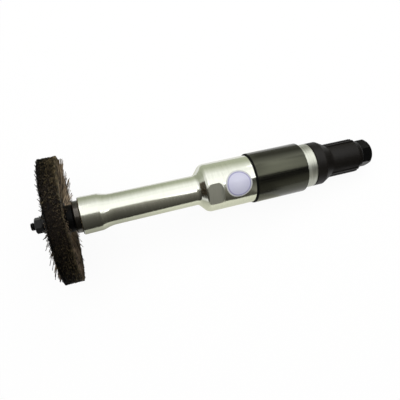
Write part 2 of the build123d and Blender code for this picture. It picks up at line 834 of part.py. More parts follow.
# One file for each piece
os.makedirs("parts", exist_ok=True)
for name, piece in pieces.items():
    piece.part.label = name
    export_step(piece.part, f"parts/{name}.step")
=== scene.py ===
import json
import math

import bpy
import numpy as np
from mathutils import Matrix, Vector


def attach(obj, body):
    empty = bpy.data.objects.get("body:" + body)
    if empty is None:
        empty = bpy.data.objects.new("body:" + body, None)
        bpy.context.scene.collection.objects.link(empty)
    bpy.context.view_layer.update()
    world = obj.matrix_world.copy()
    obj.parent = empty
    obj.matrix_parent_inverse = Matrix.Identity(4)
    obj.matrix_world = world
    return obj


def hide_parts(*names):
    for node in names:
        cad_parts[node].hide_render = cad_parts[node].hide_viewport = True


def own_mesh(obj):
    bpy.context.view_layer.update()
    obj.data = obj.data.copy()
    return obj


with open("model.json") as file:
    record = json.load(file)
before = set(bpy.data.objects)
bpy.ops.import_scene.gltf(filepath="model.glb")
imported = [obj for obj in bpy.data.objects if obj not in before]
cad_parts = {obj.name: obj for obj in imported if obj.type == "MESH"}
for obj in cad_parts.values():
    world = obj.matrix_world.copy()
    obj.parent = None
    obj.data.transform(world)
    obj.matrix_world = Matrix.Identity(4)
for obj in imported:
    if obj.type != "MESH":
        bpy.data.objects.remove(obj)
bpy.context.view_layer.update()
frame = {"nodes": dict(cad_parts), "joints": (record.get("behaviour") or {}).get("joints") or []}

# Camera: it stands over the tool's near side, a little towards the brush, and looks down on it.
# The lens is worked out from its length in pixels on the square picture.
scene = bpy.context.scene
scene.view_settings.view_transform = "Standard"
picture_px = 400
lens_px = 430
sensor_mm = 36
camera_place = Vector((-0.04230, -0.10794, 0.37261))
camera_aim = Vector((-0.01372, -0.00833, 0.03203))
camera = bpy.data.objects.new("camera", bpy.data.cameras.new("camera"))
camera.data.sensor_width = sensor_mm
camera.data.lens = lens_px / picture_px * sensor_mm
camera.location = camera_place
camera.rotation_euler = (camera_aim - camera_place).to_track_quat("-Z", "Y").to_euler()
scene.collection.objects.link(camera)
scene.camera = camera


# Studio: a white room, which is bright where it is seen and mirrored and dimmer where it lights.
# Three soft boxes hang side by side over the tool, each a little stronger than the one before it.
def paint(hex_colour):
    """Linear colour of an sRGB hex value."""
    parts = [int(hex_colour[place:place + 2], 16) / 255 for place in (1, 3, 5)]
    return [part / 12.92 if part <= 0.04045 else ((part + 0.055) / 1.055) ** 2.4 for part in parts] + [1]


def add_node(tree, kind, inputs=None, **settings):
    """Add a node with its settings, and set or link its inputs."""
    node = tree.nodes.new(kind)
    for name, value in settings.items():
        setattr(node, name, value)
    for name, value in (inputs or {}).items():
        if isinstance(value, bpy.types.NodeSocket):
            tree.links.new(value, node.inputs[name])
        else:
            node.inputs[name].default_value = value
    return node


def seen_rays(tree):
    """1 for rays from the camera and through mirrors and glass, 0 for rays of light."""
    path = add_node(tree, "ShaderNodeLightPath")
    mirrored = add_node(
        tree, "ShaderNodeMath",
        {0: path.outputs["Is Camera Ray"], 1: path.outputs["Is Glossy Ray"]}, operation="ADD",
    )
    seen = add_node(
        tree, "ShaderNodeMath",
        {0: mirrored.outputs[0], 1: path.outputs["Is Transmission Ray"]}, operation="ADD", use_clamp=True,
    )
    return seen.outputs[0]


room_light = 0.25
room = bpy.data.worlds.new("white_room")
room.use_nodes = True
room.node_tree.nodes.clear()
scene.world = room
level = add_node(
    room.node_tree, "ShaderNodeMapRange",
    {"Value": seen_rays(room.node_tree), "To Min": room_light, "To Max": 1.0},
)
sky = add_node(
    room.node_tree, "ShaderNodeBackground", {"Color": paint("#FFFFFF"), "Strength": level.outputs[0]},
)
add_node(room.node_tree, "ShaderNodeOutputWorld", {"Surface": sky.outputs[0]})

box_middle, box_height, box_length = 0.08, 0.9, 1.2
for name, near, far, radiance in (
    ("front_box", -0.5, -0.12, 1.7), ("middle_box", -0.12, 0.3, 1.9), ("back_box", 0.3, 0.85, 2.6),
):
    lamp = bpy.data.lights.new(name, "AREA")
    lamp.shape = "RECTANGLE"
    lamp.size = box_length
    lamp.size_y = far - near
    lamp.energy = radiance * math.pi * lamp.size * lamp.size_y
    lamp_object = bpy.data.objects.new(name, lamp)
    lamp_object.location = (box_middle, (near + far) / 2, box_height)
    lamp_object.visible_camera = False
    scene.collection.objects.link(lamp_object)

# Floor: a plain pale table just under the tool, painted matte white.
# Part of its white is its own where it is seen, so that the tool's shadow on it stays faint.
floor_size, floor_drop = 6, 0.0003
own_white = 0.94
bpy.ops.object.select_all(action="DESELECT")
bpy.ops.mesh.primitive_plane_add(size=floor_size, location=(0, 0, -floor_drop))
floor = bpy.context.object
floor.name = "floor"
table_white = bpy.data.materials.new("matte_white_table")
table_white.use_nodes = True
tree = table_white.node_tree
tree.nodes.clear()
share = add_node(tree, "ShaderNodeMath", {0: seen_rays(tree), 1: own_white}, operation="MULTIPLY")
matte = add_node(tree, "ShaderNodeBsdfDiffuse", {"Color": paint("#FCFCFA")})
white = add_node(tree, "ShaderNodeEmission", {"Color": paint("#FFFFFF"), "Strength": 1.0})
mixed = add_node(
    tree, "ShaderNodeMixShader", {0: share.outputs[0], 1: matte.outputs[0], 2: white.outputs[0]},
)
add_node(tree, "ShaderNodeOutputMaterial", {"Surface": mixed.outputs[0]})
floor.data.materials.append(table_white)


# Cards: dark on the camera's side and beyond the inlet, pale behind, above and below the tool. Only shiny
# surfaces show them, as mirrors. The two that lie on the table are painted shade: one is a dark sheet on the
# table beside the tool, and the other shows the table darker close under the tool. Each is spread from its
# corner along two edges.
# Its tone goes over from one to the other between two places on an axis, and some are dimmer to the left,
# near the brush.
def between(tree, pattern, low, high, low_tone, high_tone):
    """Colour that goes over from one tone to another as a pattern rises from low to high."""
    rise = add_node(tree, "ShaderNodeMapRange", {"Value": pattern, "From Min": low, "From Max": high})
    tone = add_node(
        tree, "ShaderNodeMix",
        {0: rise.outputs[0], 6: paint(low_tone), 7: paint(high_tone)}, data_type="RGBA",
    )
    return tone.outputs[2]


no_dim, no_fade, dark_tone = (-0.08, -0.01, 1.0), ("Z", 0.0, 1.0), "#302F2C"
for name, corner, edge, other_edge, fade, low_tone, high_tone, strength, dim in (
    ("nose_card", (-0.5, -0.09, 0.012), (0.53, 0, 0), (0, 0, 0.343),
     ("Z", 0.0, 0.355), "#302F29", "#BFBBB1", 1.0, (-0.08, -0.01, 0.55)),
    ("body_card", (0.03, -0.09, 0.006), (0.05, 0, 0), (0, 0, 0.164),
     ("Z", 0.0, 0.17), "#3A3932", "#9A978E", 1.0, no_dim),
    ("joint_card", (0.045, -0.055, 0.03), (0.021, 0, 0), (0, 0, 0.14),
     ("Z", 0.045, 0.08), "#8E8C84", "#5A5A53", 1.0, no_dim),
    ("rear_card", (0.066, -0.055, 0.03), (0.052, 0, 0), (0, 0, 0.14),
     ("Z", 0.045, 0.08), "#B8B6AE", dark_tone, 1.0, no_dim),
    ("grip_card", (0.118, -0.055, 0.0), (0.382, 0, 0), (0, 0, 0.17),
     no_fade, dark_tone, dark_tone, 1.0, no_dim),
    ("end_card", (0.22, -0.25, 0.0), (0, 0.5, 0), (0, 0, 0.1),
     no_fade, dark_tone, dark_tone, 1.0, no_dim),
    ("back_card", (-0.5, 0.09, 0.0), (0.557, 0, 0), (0.037, 0, 0.15),
     ("Z", 0.056, 0.155), "#A8AC9B", "#FFFFFF", 1.45, (-0.08, -0.01, 0.8)),
    ("nose_roof_card", (-0.099, 0.09, 0.15), (0.11, 0, 0), (0.006, -0.18, 0.205),
     ("Z", 0.15, 0.22), "#EFEFEF", "#FFFFFF", 1.5, no_dim),
    ("body_roof_card", (-0.09, 0.09, 0.15), (0.202, 0, 0), (0.095, -0.18, 0.205),
     ("Z", 0.15, 0.22), "#EFEFEF", "#FFFFFF", 1.5, no_dim),
    ("back_rear_card", (0.057, 0.09, 0.0), (0.443, 0, 0), (0.0345, 0, 0.14),
     ("Z", 0.055, 0.14), "#68685F", "#FFFFFF", 2.2, no_dim),
    # Painted shade: a dark sheet on the table beside the tool, seen only in mirrors
    ("far_table_card", (0.151, -0.16, 0.0003), (0.069, 0, 0), (0, 0.18, 0),
     no_fade, dark_tone, dark_tone, 1.0, no_dim),
    # Painted shade: the table as mirrors show it, darker close under the tool
    ("table_card", (-0.12, -0.14, 0.0002), (0.18, 0, 0), (0, 0.19, 0),
     ("Y", -0.09, -0.02), "#E4E4D6", "#C8C8BA", 1.27, (-0.107, -0.03, 0.54)),
):
    bpy.ops.object.select_all(action="DESELECT")
    bpy.ops.mesh.primitive_plane_add(size=1, location=(0, 0, 0))
    card = bpy.context.object
    card.name = name
    for vertex in card.data.vertices:
        vertex.co = (
            Vector(corner) + Vector(edge) * (vertex.co.x > 0) + Vector(other_edge) * (vertex.co.y > 0)
        )
    card.visible_camera = False
    card.visible_diffuse = False
    card.visible_shadow = False
    card_tone = bpy.data.materials.new(name)
    card_tone.use_nodes = True
    tree = card_tone.node_tree
    tree.nodes.clear()
    place = add_node(tree, "ShaderNodeTexCoord").outputs["Object"]
    where = add_node(tree, "ShaderNodeSeparateXYZ", {0: place})
    fade_axis, fade_low, fade_high = fade
    tone = between(tree, where.outputs[fade_axis], fade_low, fade_high, low_tone, high_tone)
    dim_left, dim_right, dim_share = dim
    power = add_node(tree, "ShaderNodeMapRange", {
        "Value": where.outputs["X"], "From Min": dim_left, "From Max": dim_right,
        "To Min": strength * dim_share, "To Max": strength,
    })
    glow = add_node(tree, "ShaderNodeEmission", {"Color": tone, "Strength": power.outputs[0]})
    add_node(tree, "ShaderNodeOutputMaterial", {"Surface": glow.outputs[0]})
    card.data.materials.append(card_tone)

# Spindle: a blackened steel shaft. Its quarter inch stud stands out of the nut, and its thread is cut
# in a copy of the solid with a wire of triangular section wound round the stud.
spin = next(joint for joint in frame["joints"] if joint["name"] == "spindle_spin")
nose_point = Vector(spin["pos_m"])
axis_dir = Vector(spin["axis"])
lie = math.atan2(-axis_dir.z, axis_dir.x)
mm = 0.001
# It lays what is drawn in millimetres along the X axis, from the front of the nose, on the lying tool
on_tool = Matrix.Translation(nose_point) @ Matrix.Rotation(lie, 4, "Y") @ Matrix.Scale(mm, 4)
merge_mm = 0.001
groove_half, turn_steps, thread_crease = 0.46, 28, math.radians(28)
noise_span = (0.3, 0.7)


def choose(piece):
    """Make a piece the only one selected, and the active one."""
    bpy.ops.object.select_all(action="DESELECT")
    piece.select_set(True)
    bpy.context.view_layer.objects.active = piece


def copy_of(node, name):
    """Piece with a merged copy of a CAD node's mesh."""
    piece = bpy.data.objects.new(name, frame["nodes"][node].data.copy())
    scene.collection.objects.link(piece)
    choose(piece)
    bpy.ops.mesh.customdata_custom_splitnormals_clear()
    bpy.ops.object.mode_set(mode="EDIT")
    bpy.ops.mesh.select_all(action="SELECT")
    bpy.ops.mesh.remove_doubles(threshold=merge_mm * mm)
    bpy.ops.object.mode_set(mode="OBJECT")
    return piece


def cut_thread(piece, pitch, tip_r, base_r, first, last):
    """Cut a helical groove round the tool's axis, from a base to a tip radius, and clear its slivers."""
    bpy.ops.object.select_all(action="DESELECT")
    bpy.ops.mesh.primitive_circle_add(vertices=3, radius=1, location=(0, 0, 0))
    cutter = bpy.context.object
    half = groove_half * pitch
    corners = ((first, 0, tip_r), (first - half, 0, base_r), (first + half, 0, base_r))
    for vertex, corner in zip(cutter.data.vertices, corners):
        vertex.co = corner
    screw = cutter.modifiers.new("wind", "SCREW")
    screw.axis = "X"
    screw.screw_offset = pitch
    screw.iterations = math.ceil((last - first) / pitch)
    screw.steps = turn_steps
    screw.render_steps = turn_steps
    bpy.ops.object.modifier_apply(modifier="wind")
    bpy.ops.object.mode_set(mode="EDIT")
    bpy.ops.mesh.select_all(action="SELECT")
    bpy.ops.mesh.fill_holes(sides=3)
    bpy.ops.mesh.normals_make_consistent(inside=False)
    bpy.ops.object.mode_set(mode="OBJECT")
    cutter.data.transform(on_tool)
    choose(piece)
    groove = piece.modifiers.new("groove", "BOOLEAN")
    groove.operation = "DIFFERENCE"
    groove.solver = "EXACT"
    groove.object = cutter
    bpy.ops.object.modifier_apply(modifier="groove")
    bpy.data.objects.remove(cutter)
    bpy.ops.object.mode_set(mode="EDIT")
    bpy.ops.mesh.select_all(action="SELECT")
    bpy.ops.mesh.remove_doubles(threshold=merge_mm * mm)
    bpy.ops.mesh.dissolve_degenerate(threshold=merge_mm * mm)
    bpy.ops.object.mode_set(mode="OBJECT")
    bpy.ops.object.shade_smooth_by_angle(angle=thread_crease)


def new_finish(name, **values):
    """Material with a principled shader, its plain values set on the shader's own sockets."""
    finish = bpy.data.materials.new(name)
    finish.use_nodes = True
    shader = finish.node_tree.nodes["Principled BSDF"]
    for socket, value in values.items():
        shader.inputs[socket.replace("_", " ")].default_value = value
    return finish, finish.node_tree, shader


def along_tool(tree, stretch=(1, 1, 1)):
    """Place in millimetres along the tool, to its side and up from its axis, times a stretch."""
    place = add_node(tree, "ShaderNodeTexCoord").outputs["Object"]
    lined_up = add_node(
        tree, "ShaderNodeMapping",
        {"Vector": place, "Location": nose_point, "Rotation": (0, lie, 0), "Scale": (mm, mm, mm)},
        vector_type="TEXTURE",
    )
    return add_node(
        tree, "ShaderNodeVectorMath", {0: lined_up.outputs[0], 1: stretch}, operation="MULTIPLY",
    ).outputs[0]


def grained(tree, shader, size_mm, roughness, depth_mm, stretch=(1, 1, 1), detail=3.0):
    """Noise of that grain size: it moves the roughness between two values and stands up as a bump."""
    grain = add_node(
        tree, "ShaderNodeTexNoise",
        {"Vector": along_tool(tree, stretch), "Scale": 1 / size_mm, "Detail": detail},
    )
    spread = add_node(tree, "ShaderNodeMapRange", {
        "Value": grain.outputs[0], "From Min": noise_span[0], "From Max": noise_span[1],
        "To Min": roughness[0], "To Max": roughness[1],
    })
    tree.links.new(spread.outputs[0], shader.inputs["Roughness"])
    bump = add_node(
        tree, "ShaderNodeBump",
        {"Height": grain.outputs[0], "Strength": 1.0, "Distance": depth_mm * mm},
    )
    tree.links.new(bump.outputs[0], shader.inputs["Normal"])
    return grain.outputs[0]


def toned(tree, shader, pattern, dark, light):
    """Colour of the shader between two tones, by a noise pattern."""
    tree.links.new(between(tree, pattern, *noise_span, dark, light), shader.inputs["Base Color"])


# Dull black oxide: a dry, fine grained black that hardly shines.
# Its crystals are drawn far larger than they are, so that they show.
dull_oxide, tree, shader = new_finish("dull_black_oxide_steel", Specular_IOR_Level=0.13)
crystals = grained(tree, shader, size_mm=0.3, roughness=(0.3, 0.45), depth_mm=0.006)
toned(tree, shader, crystals, "#040404", "#0C0C0B")
spindle = copy_of("spindle", "threaded_spindle")
cut_thread(spindle, pitch=1.27, tip_r=2.5, base_r=3.3, first=-38.7, last=-21.5)
spindle.data.materials.clear()
spindle.data.materials.append(dull_oxide)
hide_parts("spindle")
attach(spindle, "spindle")


# Nut, flanges and brush plates: steel, turned or stamped, with the same dull black.
# The nut clamps the brush between the flanges, and the plates hold the brush's wires between them.
def dress(finish, *nodes):
    """Give CAD nodes a finish."""
    for node in nodes:
        frame["nodes"][node].material_slots[0].material = finish


dress(dull_oxide, "spindle_nut", "outer_flange", "inner_flange", "brush_front_plate", "brush_rear_plate")

# Front cap: a collar of turned steel, blackened and oiled.
# It is screwed into the nose, does not turn, and keeps the front bearing in.
# Oiled black oxide: a thin warm skin, through whose shine the steel's turning lines show.
# They are drawn wider than they are.
black_oxide, tree, shader = new_finish(
    "oiled_black_oxide_steel", Specular_IOR_Level=0.7, Specular_Tint=paint("#F6EAD8"),
    Coat_Weight=0.3, Coat_Roughness=0.14,
)
turning = grained(tree, shader, size_mm=0.5, stretch=(1, 0.12, 0.12), roughness=(0.18, 0.3), depth_mm=0.003)
toned(tree, shader, turning, "#030303", "#070707")
dress(black_oxide, "front_cap")

# Rotor and dowel of the motor: hardened steel, ground to size. The rotor turns with the spindle,
# and the dowel keeps the motor's cylinder and end plates in line.
# Ground steel: a little grey, with fine lines from the grinding wheel, drawn wider than they are
ground_steel, tree, shader = new_finish("ground_steel", Metallic=1.0)
lines = grained(tree, shader, size_mm=0.3, stretch=(1, 0.05, 0.05), roughness=(0.2, 0.36), depth_mm=0.004)
toned(tree, shader, lines, "#A6A6A4", "#C4C4C2")
dress(ground_steel, "rotor", "cylinder_pin")

# Brush: crimped steel wires, packed between two stamped plates and trimmed straight at the rim.
# A packed mass fills the wheel as painted shade between the wires, and several thousand wires cover it,
# copied from one.
brush_mid, brush_r, root_r = -15.4, 49.4, 14.5
mass_steps = 120
mass_outline = (
    (-3.8, 13.0), (-4.0, 18.0), (-4.4, 47.2), (6.2, 47.2), (4.2, 18.0), (3.8, 13.0), (-3.8, 13.0),
)
bpy.ops.object.select_all(action="DESELECT")
bpy.ops.mesh.primitive_plane_add(size=1, location=(0, 0, 0))
mass = bpy.context.object
mass.name = "packed_brush_wires"
bpy.ops.object.mode_set(mode="EDIT")
bpy.ops.mesh.select_all(action="SELECT")
bpy.ops.mesh.merge(type="CENTER")
bpy.ops.transform.translate(value=(brush_mid + mass_outline[0][0], 0, mass_outline[0][1]))
for (start, start_r), (end, end_r) in zip(mass_outline, mass_outline[1:]):
    bpy.ops.mesh.extrude_region_move(TRANSFORM_OT_translate={"value": (end - start, 0, end_r - start_r)})
bpy.ops.mesh.select_all(action="SELECT")
bpy.ops.mesh.spin(steps=mass_steps, angle=2 * math.pi, center=(0, 0, 0), axis=(1, 0, 0))
bpy.ops.mesh.select_all(action="SELECT")
bpy.ops.mesh.remove_doubles(threshold=merge_mm)
bpy.ops.mesh.normals_make_consistent(inside=False)
bpy.ops.object.mode_set(mode="OBJECT")
mass.data.transform(on_tool)

# One wire of length 1: a thin three sided rod, cut across so that it can bend.
# It is thicker than the real wire, which would be too thin to show.
wire_r = 0.26
bpy.ops.object.select_all(action="DESELECT")
bpy.ops.mesh.primitive_cylinder_add(vertices=3, radius=wire_r, depth=1, location=(0, 0, 0.5))
one_wire = bpy.context.object
bpy.ops.object.transform_apply(location=True)
bpy.ops.object.mode_set(mode="EDIT")
for cut in (0.25, 0.5, 0.75):
    bpy.ops.mesh.select_all(action="SELECT")
    bpy.ops.mesh.bisect(plane_co=(0, 0, cut), plane_no=(0, 0, 1))
bpy.ops.mesh.select_all(action="SELECT")
bpy.ops.mesh.quads_convert_to_tris()
bpy.ops.object.mode_set(mode="OBJECT")
wire_points = np.array([vertex.co for vertex in one_wire.data.vertices])
# A wire is mirrored as it is laid on the brush, so its faces are turned over
wire_faces = np.array([face.vertices for face in one_wire.data.polygons])[:, ::-1]
bpy.data.objects.remove(one_wire)

# Roots: some are spread through the brush, a layer lies on each face, and strays stand out of the faces.
# A root at -1 is on the front face, at the nut, and one at 1 on the rear face.
even, each_face, strays = 3600, 1300, 1450
front_strays = 0.7
count = even + 2 * each_face + strays
draw = np.random.default_rng(seed=5)
turn = draw.uniform(0, 2 * math.pi, count)
root = np.concatenate([
    draw.uniform(-1, 1, even), np.full(each_face, -1.0), np.full(each_face, 1.0),
    np.where(draw.uniform(0, 1, strays) < front_strays, -1.0, 1.0),
])

# Flare of the tips along the tool: small for most, and larger for a few of the strays, more so on one side
even_flare, face_flare = 0.35, 0.4
least_flare, more_flare, rareness = 0.3, 4.2, 2.2
mean_bend, side_bend = 0.7, 0.45
flare = draw.normal(0, even_flare, count)
flare[even:] = np.abs(draw.normal(0, face_flare, count - even)) * root[even:]
bent = mean_bend - side_bend * root[-strays:] * np.sin(turn[-strays:])
stray_flare = least_flare + more_flare * draw.uniform(0, 1, strays) ** rareness
flare[-strays:] = stray_flare * bent * root[-strays:]

# Tips: trimmed nearly even at a rim that is wider than the root and a little to the rear.
# Strays may be shorter.
trim_spread, shortest_r = 0.5, 32
rim_shift, rim_half, sway = 1.0, 5.8, 1.2
tip_r = brush_r - np.abs(draw.normal(0, trim_spread, count))
tip_r[-strays:] = draw.uniform(shortest_r, brush_r, strays)
tip_along = rim_shift + root * rim_half + flare
tip_side = draw.normal(0, sway, count)

# Crimp: each wire waves along the tool and to its side, the more the nearer to its tip
root_half = 3.9
flare_curve, crimp_along, waves_along = 1.15, 0.22, 7.5
sway_curve, crimp_side, waves_side = 1.6, 0.25, 8.5
wave = draw.uniform(0, 2 * math.pi, (count, 2))
step = wire_points[:, 2][None, :]
radius = root_r + (tip_r[:, None] - root_r) * step
root_along = root[:, None] * root_half
axial = root_along + (tip_along[:, None] - root_along) * step ** flare_curve
axial = axial + crimp_along * np.sin(waves_along * step + wave[:, 0:1]) * step + wire_points[:, 0]
sideways = tip_side[:, None] * step ** sway_curve
sideways = sideways + crimp_side * np.sin(waves_side * step + wave[:, 1:2]) * step + wire_points[:, 1]
sine, cosine = np.sin(turn)[:, None], np.cos(turn)[:, None]
points = np.stack([
    brush_mid + axial,
    -sine * radius - cosine * sideways,
    cosine * radius - sine * sideways,
], axis=2).reshape(-1, 3)
faces = (wire_faces[None] + np.arange(count)[:, None, None] * len(wire_points)).reshape(-1, 3)
wires_mesh = bpy.data.meshes.new("brush_wires_fine")
wires_mesh.from_pydata(points.tolist(), [], faces.tolist())
wires_mesh.transform(on_tool)
wires_mesh.update()
wires = bpy.data.objects.new("brush_wires_fine", wires_mesh)
scene.collection.objects.link(wires)

# Wire deep in the pack: painted shade, nearly black, since hardly any light comes back out from between the
# wires.
# The gaps in it are painted shade too, drawn wider than they are.
deep_wire_shade, tree, shader = new_finish("packed_brush_wire", Specular_IOR_Level=0.1)
shade_gaps = grained(tree, shader, size_mm=0.6, roughness=(0.7, 0.9), depth_mm=0.1)
toned(tree, shader, shade_gaps, "#0F0B08", "#211A13")

# Drawn steel wire: brown from drawing and heat, in streaks a bunch of wires wide that run out along them.
# The tips are the darkest, with a lighter speck here and there as a painted glint where cut ends catch the
# light, more of them towards the rear, and the side of the brush towards the camera, where the light is
# dimmer, is darkened as painted shade.
streak_mm, speck_mm, mottle = 2.0, 2.4, 4.0
rear_glint_rise = 0.015
tips_from, tips_full = 40.0, 48.0
shaded_side, lit_side, shade_share = -30.0, 15.0, 0.45
wire_steel, tree, shader = new_finish("drawn_brush_wire", Metallic=0.4, Specular_IOR_Level=0.3)
grained(tree, shader, size_mm=0.5, roughness=(0.4, 0.65), depth_mm=0.02)
outward = add_node(tree, "ShaderNodeVectorMath", {0: along_tool(tree, (0, 1, 1))}, operation="NORMALIZE")
fan = add_node(
    tree, "ShaderNodeVectorMath",
    {0: outward.outputs[0], 1: (brush_r, brush_r, brush_r), 2: along_tool(tree, (1, 0, 0))},
    operation="MULTIPLY_ADD",
)
streaks = add_node(
    tree, "ShaderNodeTexNoise", {"Vector": fan.outputs[0], "Scale": 1 / streak_mm, "Detail": mottle},
)
specks = add_node(
    tree, "ShaderNodeTexNoise", {"Vector": along_tool(tree), "Scale": 1 / speck_mm, "Detail": mottle},
)
spot = add_node(tree, "ShaderNodeSeparateXYZ", {0: along_tool(tree)})
# Painted glints: lighter specks at the tips, more of them towards the rear
glint_marks = add_node(
    tree, "ShaderNodeMath",
    {0: spot.outputs["X"], 1: rear_glint_rise, 2: specks.outputs[0]}, operation="MULTIPLY_ADD",
)
reach = add_node(tree, "ShaderNodeVectorMath", {0: along_tool(tree, (0, 1, 1))}, operation="LENGTH")
tipward = add_node(
    tree, "ShaderNodeMapRange",
    {"Value": reach.outputs["Value"], "From Min": tips_from, "From Max": tips_full},
)
tone = add_node(tree, "ShaderNodeMix", {
    0: tipward.outputs[0],
    6: between(tree, streaks.outputs[0], low=0.4, high=0.65, low_tone="#241C15", high_tone="#BFA88C"),
    7: between(tree, glint_marks.outputs[0], low=0.24, high=0.48, low_tone="#050402", high_tone="#7A6C4E"),
}, data_type="RGBA")
# Painted shade: the side towards the camera, where the light is dimmer, is darkened
side_shade = add_node(tree, "ShaderNodeMapRange", {
    "Value": spot.outputs["Y"], "From Min": shaded_side, "From Max": lit_side,
    "To Min": shade_share, "To Max": 1.0,
})
side_shaded = add_node(
    tree, "ShaderNodeVectorMath", {0: tone.outputs[2], "Scale": side_shade.outputs[0]}, operation="SCALE",
)
tree.links.new(side_shaded.outputs[0], shader.inputs["Base Color"])
for piece, finish in ((mass, deep_wire_shade), (wires, wire_steel)):
    piece.data.materials.append(finish)
    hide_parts("brush_wires")
    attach(piece, "spindle")

# Bush of the brush: a steel tube, riveted over through both plates.
# It holds the brush together and makes the hole that the spindle goes through.
# Zinc plating: a soft pale grey in flakes, drawn larger than they are
zinc, tree, shader = new_finish("zinc_plated_steel", Metallic=1.0)
flakes = grained(tree, shader, size_mm=1.5, roughness=(0.3, 0.5), depth_mm=0.004)
toned(tree, shader, flakes, "#9FA19C", "#C3C4BC")
dress(zinc, "brush_bush")

# Felt seal: a ring of pressed wool, set in the front cap.
# It closes round the hub of the inner flange and keeps dust out of the front bearing.
# Wool felt: grey and soft, with no shine. Its fibres are drawn thicker than they are.
felt, tree, shader = new_finish("pressed_wool_felt", Sheen_Weight=0.4)
fibres = grained(tree, shader, size_mm=0.25, roughness=(0.85, 1.0), depth_mm=0.12, detail=6.0)
toned(tree, shader, fibres, "#5E5850", "#8B857B")
dress(felt, "felt_seal")

# Ball bearings: two carry the spindle and two the rotor, each with two races and its balls.
# They are hardened steel, ground and polished, and sit in their bores.
# Bearing steel: a bright, even shine, with polishing lines that are drawn wider than they are
bearing_steel, tree, shader = new_finish("polished_bearing_steel", Metallic=1.0)
polish = grained(tree, shader, size_mm=0.4, stretch=(1, 0.1, 0.1), roughness=(0.08, 0.16), depth_mm=0.001)
toned(tree, shader, polish, "#C2C3C6", "#D2D3D6")
for bearing in ("front_bearing", "spindle_bearing", "rotor_front_bearing", "rotor_rear_bearing"):
    dress(bearing_steel, bearing + "_inner_race", bearing + "_outer_race", bearing + "_balls")

# Nose housing: aluminium, turned in one piece and polished bright on the lathe.
# Two wrench flats are then milled on its round body.
# Polished aluminium: it mirrors the room, drawn out by the fine rings that the polishing leaves round it.
# The rings are wider here than they are.
polished, tree, shader = new_finish("polished_aluminium", Metallic=1.0)
rings = grained(
    tree, shader, size_mm=0.45, stretch=(1, 0.03, 0.03), roughness=(0.13, 0.19), depth_mm=0.0006,
)
toned(tree, shader, rings, "#CFD1C5", "#D8DACF")
# The wrench flats are left duller: a mask picks them out by their place along and across the tool
flat_turn, flat_half = math.radians(39), 8.8
flat_middle, flat_span = 106.5, 6.4
milled_roughness = 0.38
masks = []
for direction, middle, span in (
    ((1, 0, 0), flat_middle, flat_span),
    ((0, math.cos(flat_turn), math.sin(flat_turn)), 0.0, flat_half),
):
    where = add_node(
        tree, "ShaderNodeVectorMath", {0: along_tool(tree), 1: direction}, operation="DOT_PRODUCT",
    )
    masks.append(add_node(
        tree, "ShaderNodeMath", {0: where.outputs["Value"], 1: middle, 2: span}, operation="COMPARE",
    ).outputs[0])
milled = add_node(tree, "ShaderNodeMath", {0: masks[0], 1: masks[1]}, operation="MULTIPLY")
dulled = add_node(tree, "ShaderNodeMix", {
    0: milled.outputs[0], 2: shader.inputs["Roughness"].links[0].from_socket, 3: milled_roughness,
})
tree.links.new(dulled.outputs[0], shader.inputs["Roughness"])
dress(polished, "nose_housing")

# Sticker: a round disc of vinyl film with a silver rim.
# It is cut flat, bent round the body and pressed on.
sticker_station, sticker_turn, sticker_r = 125.8, math.radians(25.5), 11.1
body_r, glue_mm, film_mm = 20.0, 0.02, 0.12
ring_widths = (0.25, 0.75, 1.6, 2.2, 2.4, 2.2)


def round_body(station, angle, r):
    """Place round the tool's axis, at a station along it and an angle from its top."""
    return station, -math.sin(angle) * r, math.cos(angle) * r


bpy.ops.object.select_all(action="DESELECT")
bpy.ops.mesh.primitive_circle_add(vertices=72, radius=sticker_r, fill_type="NGON", location=(0, 0, 0))
sticker = bpy.context.object
sticker.name = "round_sticker"
bpy.ops.object.mode_set(mode="EDIT")
bpy.ops.mesh.select_all(action="SELECT")
for width in ring_widths:
    bpy.ops.mesh.inset(thickness=width)
bpy.ops.mesh.poke()
bpy.ops.object.mode_set(mode="OBJECT")
for vertex in sticker.data.vertices:
    along, around, _ = vertex.co
    vertex.co = round_body(sticker_station + along, sticker_turn - around / body_r, body_r + glue_mm)
sticker.data.transform(on_tool)
choose(sticker)
thick = sticker.modifiers.new("thickness", "SOLIDIFY")
thick.thickness = film_mm * mm
thick.offset = 1
bpy.ops.object.modifier_apply(modifier="thickness")
bpy.ops.object.shade_smooth_by_angle(angle=math.radians(40))

# Vinyl film: satin white with a lavender tinge, a darker ring near its edge and a silver rim
sticker_middle = on_tool @ Vector(round_body(sticker_station, sticker_turn, body_r))
vinyl, tree, shader = new_finish("satin_vinyl", Coat_Weight=0.5, Coat_Roughness=0.15)
grained(tree, shader, size_mm=0.5, roughness=(0.3, 0.42), depth_mm=0.003)
place = add_node(tree, "ShaderNodeTexCoord").outputs["Object"]
from_middle = add_node(tree, "ShaderNodeVectorMath", {0: place, 1: sticker_middle}, operation="DISTANCE")
edge_share = add_node(
    tree, "ShaderNodeMath", {0: from_middle.outputs["Value"], 1: sticker_r * mm}, operation="DIVIDE",
)
bands = add_node(tree, "ShaderNodeValToRGB", {0: edge_share.outputs[0]})
ramp = bands.color_ramp
ramp.elements[0].position, ramp.elements[0].color = 0.0, paint("#CFCFE1")
ramp.elements[1].position, ramp.elements[1].color = 0.80, paint("#C3C3D8")
for position, tone in ((0.84, "#8987B1"), (0.88, "#8987B1"), (0.91, "#C6C7C7"), (1.0, "#B7B8B8")):
    ramp.elements.new(position).color = paint(tone)
tree.links.new(bands.outputs[0], shader.inputs["Base Color"])
sticker.data.materials.append(vinyl)
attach(sticker, "housing")

